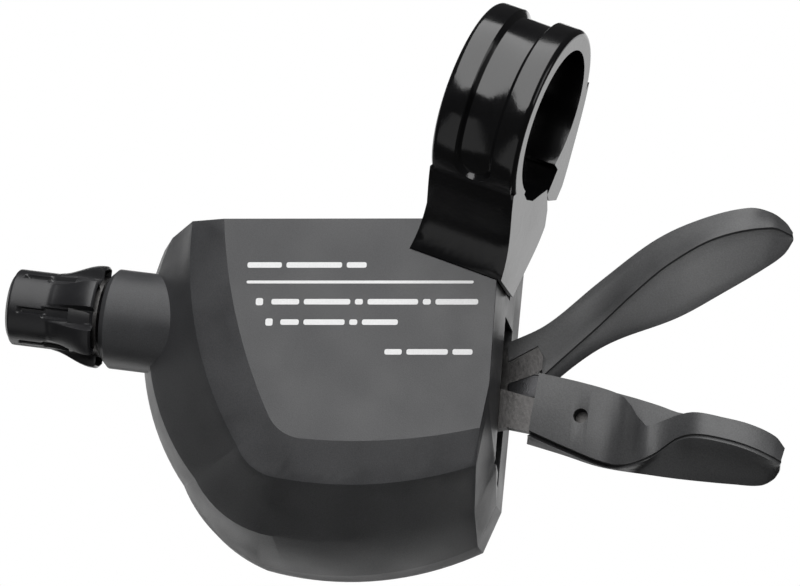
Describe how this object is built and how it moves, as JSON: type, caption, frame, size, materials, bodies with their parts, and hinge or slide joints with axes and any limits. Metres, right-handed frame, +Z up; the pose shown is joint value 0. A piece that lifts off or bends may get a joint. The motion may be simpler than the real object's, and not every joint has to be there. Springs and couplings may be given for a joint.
{
  "type": "thumb shifter",
  "caption": "Left-hand trigger shifter for a bicycle: bar clamp, faceted housing, winding and release levers, indexed cable spool and barrel adjuster.",
  "frame": {"origin": "centre of the handlebar clamp bore", "axes": "+X along the bar towards the levers, -Y the way the flat cover panel faces, +Z up, away from the housing"},
  "size_m": [0.1206, 0.0469, 0.0872],
  "materials": {
    "black_aluminium": "gloss black anodised",
    "cover_plastic": "fine moulded grain",
    "lever_plastic": "satin moulded grain",
    "knob_plastic": "satin",
    "barrel_aluminium": "black anodised",
    "bright_steel": "zinc plated stampings",
    "black_steel": "black oxide",
    "spring_steel": "drawn wire",
    "brass_sleeve": "turned",
    "spool_plastic": "natural acetal"
  },
  "bodies": {
    "housing": {"clamp_bracket": "black_aluminium", "clamp_bolt": "black_steel", "front_cover": "cover_plastic", "rear_cover": "cover_plastic", "cover_screws": "black_steel", "base_plate": "bright_steel", "bracket_screws": "black_steel", "pivot_stud": "bright_steel", "pivot_sleeve": "brass_sleeve", "pivot_washer": "bright_steel", "pivot_nut": "black_steel", "thrust_washers": "spool_plastic", "hold_pawl_pin": "bright_steel", "hold_pawl_spring": "spring_steel", "release_spring": "spring_steel", "wind_spring": "spring_steel"},
    "wind_lever": {"wind_arm": "bright_steel", "wind_paddle": "lever_plastic", "drive_pawl_pin": "bright_steel", "drive_pawl_spring": "spring_steel"},
    "drive_pawl": {"drive_pawl": "bright_steel"},
    "spool": {"cable_spool": "spool_plastic", "index_ratchet": "bright_steel", "ratchet_rivets": "bright_steel"},
    "release_lever": {"release_arm": "bright_steel", "release_paddle": "lever_plastic"},
    "hold_pawl": {"hold_pawl": "bright_steel"},
    "adjuster_slider": {"adjuster_ring": "bright_steel", "adjuster_spring": "spring_steel"},
    "adjuster_knob": {"adjuster_knob": "knob_plastic", "adjuster_barrel": "barrel_aluminium"}
  },
  "joints": [
    {"name": "wind_lever_turn", "type": "hinge", "parent": "housing", "child": "wind_lever", "pos_m": [-0.00494, 0.0251, -0.0449], "axis": [0, 1, 0], "range_deg": [0, 45], "stiffness_Nm_per_rad": 0.05, "springref_deg": -28.65, "deforming": ["wind_spring"]},
    {"name": "drive_pawl_turn", "type": "hinge", "parent": "wind_lever", "child": "drive_pawl", "pos_m": [-0.01853, 0.02315, -0.0425], "axis": [0, -1, 0], "range_deg": [0, 12], "stiffness_Nm_per_rad": 0.001, "springref_deg": -17.19, "deforming": ["drive_pawl_spring"]},
    {"name": "spool_turn", "type": "hinge", "parent": "housing", "child": "spool", "pos_m": [-0.00494, 0.0218, -0.0449], "axis": [0, 1, 0], "range_deg": [0, 45]},
    {"name": "release_lever_turn", "type": "hinge", "parent": "housing", "child": "release_lever", "pos_m": [-0.00494, 0.0187, -0.0449], "axis": [0, 1, 0], "range_deg": [0, 15], "stiffness_Nm_per_rad": 0.05, "springref_deg": -22.92, "deforming": ["release_spring"]},
    {"name": "hold_pawl_turn", "type": "hinge", "parent": "housing", "child": "hold_pawl", "pos_m": [0.00337, 0.02315, -0.05678], "axis": [0, -1, 0], "range_deg": [0, 11.5], "deforming": ["hold_pawl_spring"]},
    {"name": "adjuster_slide", "type": "slide", "parent": "housing", "child": "adjuster_slider", "axis": [-0.9744, 0, -0.225], "range_m": [0, 0.0024]},
    {"name": "adjuster_turn", "type": "hinge", "parent": "adjuster_slider", "child": "adjuster_knob", "pos_m": [-0.05858, 0.0215, -0.04881], "axis": [-0.9744, 0, -0.225], "range_deg": [0, 1080]}
  ],
  "couplings": [
    {"joint": "spool_turn", "follows": "wind_lever_turn", "ratio": 1},
    {"joint": "hold_pawl_turn", "follows": "release_lever_turn", "ratio": 0.76667},
    {"joint": "adjuster_turn", "follows": "adjuster_slide", "rad_per_m": 7854}
  ]
}
